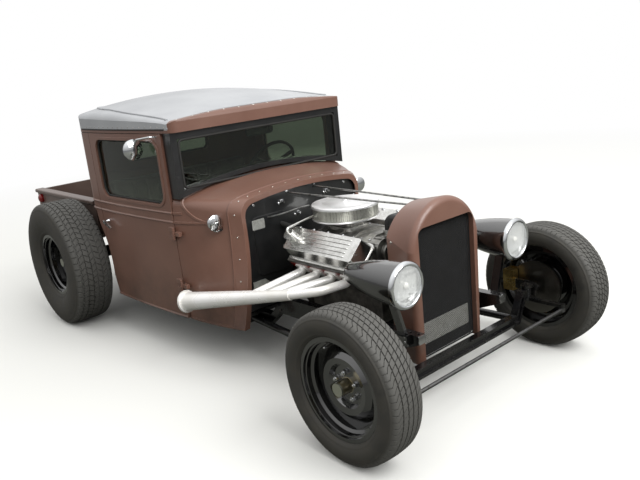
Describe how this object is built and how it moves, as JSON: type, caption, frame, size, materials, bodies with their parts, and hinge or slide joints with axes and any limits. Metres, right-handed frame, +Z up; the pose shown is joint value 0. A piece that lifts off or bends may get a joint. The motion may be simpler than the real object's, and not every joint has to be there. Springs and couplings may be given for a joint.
{
  "type": "hot rod pickup",
  "caption": "Chopped, channelled hot rod pickup with an open V8, dropped front axle, torpedo headlamps, opening doors, folding tailgate and linked steering.",
  "frame": {"origin": "on the ground below the middle of the whole car", "axes": "+X forward, +Y to the left of the driver, +Z up"},
  "size_m": [3.9469, 1.794, 1.4697],
  "materials": {
    "brown_paint": "matt",
    "roof_vinyl": "grained",
    "black_paint": "gloss",
    "tyre_rubber": "matt",
    "bright_chrome": "polished",
    "polished_aluminium": "polished",
    "silver_coating": "satin",
    "engine_red": "gloss",
    "cast_metal": "rough",
    "steel_rod": "satin",
    "window_glass": "clear",
    "lamp_glass": "fluted",
    "red_lens": "gloss",
    "grille_wire": "satin",
    "seat_cover": "grained",
    "black_plastic": "gloss",
    "bed_paint": "matt"
  },
  "bodies": {
    "chassis": {"air_cleaner": "bright_chrome", "bed": "bed_paint", "cab_back": "brown_paint", "cab_floor": "black_paint", "cab_glass": "window_glass", "cowl": "brown_paint", "cowl_lamps": "bright_chrome", "engine": "engine_red", "engine_drive": "cast_metal", "firewall": "black_paint", "frame": "black_paint", "front_axle": "black_paint", "gearbox": "cast_metal", "grille_mesh": "grille_wire", "grille_shell": "brown_paint", "header_left": "silver_coating", "header_right": "silver_coating", "headlamp_buckets": "black_paint", "headlamp_lenses": "lamp_glass", "headlamp_rims": "bright_chrome", "intake": "polished_aluminium", "radiator": "black_paint", "radiator_stays": "steel_rod", "rear_axle": "black_paint", "roof_rail": "brown_paint", "roof_top": "roof_vinyl", "seat": "seat_cover", "steering_column": "black_plastic", "tail_lamps": "red_lens", "valve_covers": "polished_aluminium", "windshield_frame": "black_paint"},
    "door_left": {"door_left": "brown_paint", "door_glass_left": "window_glass", "door_fittings_left": "bright_chrome"},
    "door_right": {"door_right": "brown_paint", "door_glass_right": "window_glass", "door_fittings_right": "bright_chrome"},
    "tailgate": {"tailgate": "bed_paint"},
    "knuckle_left": {"knuckle_left": "black_paint"},
    "knuckle_right": {"knuckle_right": "black_paint"},
    "tie_rod": {"tie_rod": "bright_chrome"},
    "wheel_front_left": {"wheel_front_left": "black_paint", "tyre_front_left": "tyre_rubber"},
    "wheel_front_right": {"wheel_front_right": "black_paint", "tyre_front_right": "tyre_rubber"},
    "wheel_rear_left": {"wheel_rear_left": "black_paint", "tyre_rear_left": "tyre_rubber"},
    "wheel_rear_right": {"wheel_rear_right": "black_paint", "tyre_rear_right": "tyre_rubber"}
  },
  "joints": [
    {"name": "steer_left", "type": "hinge", "parent": "chassis", "child": "knuckle_left", "pos_m": [1.6485, 0.545, 0.325], "axis": [0, 0, 1], "range_deg": [-28, 28]},
    {"name": "steer_right", "type": "hinge", "parent": "chassis", "child": "knuckle_right", "pos_m": [1.6485, -0.545, 0.325], "axis": [0, 0, 1], "range_deg": [-28, 28]},
    {"name": "tie_rod_swing", "type": "hinge", "parent": "knuckle_left", "child": "tie_rod", "pos_m": [1.8485, 0.545, 0.273], "axis": [0, 0, 1], "range_deg": [-28, 28]},
    {"name": "wheel_front_left_spin", "type": "hinge", "parent": "knuckle_left", "child": "wheel_front_left", "pos_m": [1.6485, 0.717, 0.325], "axis": [0, 1, 0], "continuous": true},
    {"name": "wheel_front_right_spin", "type": "hinge", "parent": "knuckle_right", "child": "wheel_front_right", "pos_m": [1.6485, -0.717, 0.325], "axis": [0, 1, 0], "continuous": true},
    {"name": "wheel_rear_left_spin", "type": "hinge", "parent": "chassis", "child": "wheel_rear_left", "pos_m": [-1.0715, 0.762, 0.419], "axis": [0, 1, 0], "continuous": true},
    {"name": "wheel_rear_right_spin", "type": "hinge", "parent": "chassis", "child": "wheel_rear_right", "pos_m": [-1.0715, -0.762, 0.419], "axis": [0, 1, 0], "continuous": true},
    {"name": "door_left_hinge", "type": "hinge", "parent": "chassis", "child": "door_left", "pos_m": [0.2235, 0.63, 0.59], "axis": [0, 0, -1], "range_deg": [0, 70]},
    {"name": "door_right_hinge", "type": "hinge", "parent": "chassis", "child": "door_right", "pos_m": [0.2235, -0.63, 0.59], "axis": [0, 0, 1], "range_deg": [0, 70]},
    {"name": "tailgate_hinge", "type": "hinge", "parent": "chassis", "child": "tailgate", "pos_m": [-1.9655, 0, 0.594], "axis": [0, -1, 0], "range_deg": [0, 90]}
  ],
  "couplings": [
    {"joint": "steer_right", "follows": "steer_left", "ratio": 1},
    {"joint": "tie_rod_swing", "follows": "steer_left", "ratio": -1}
  ]
}
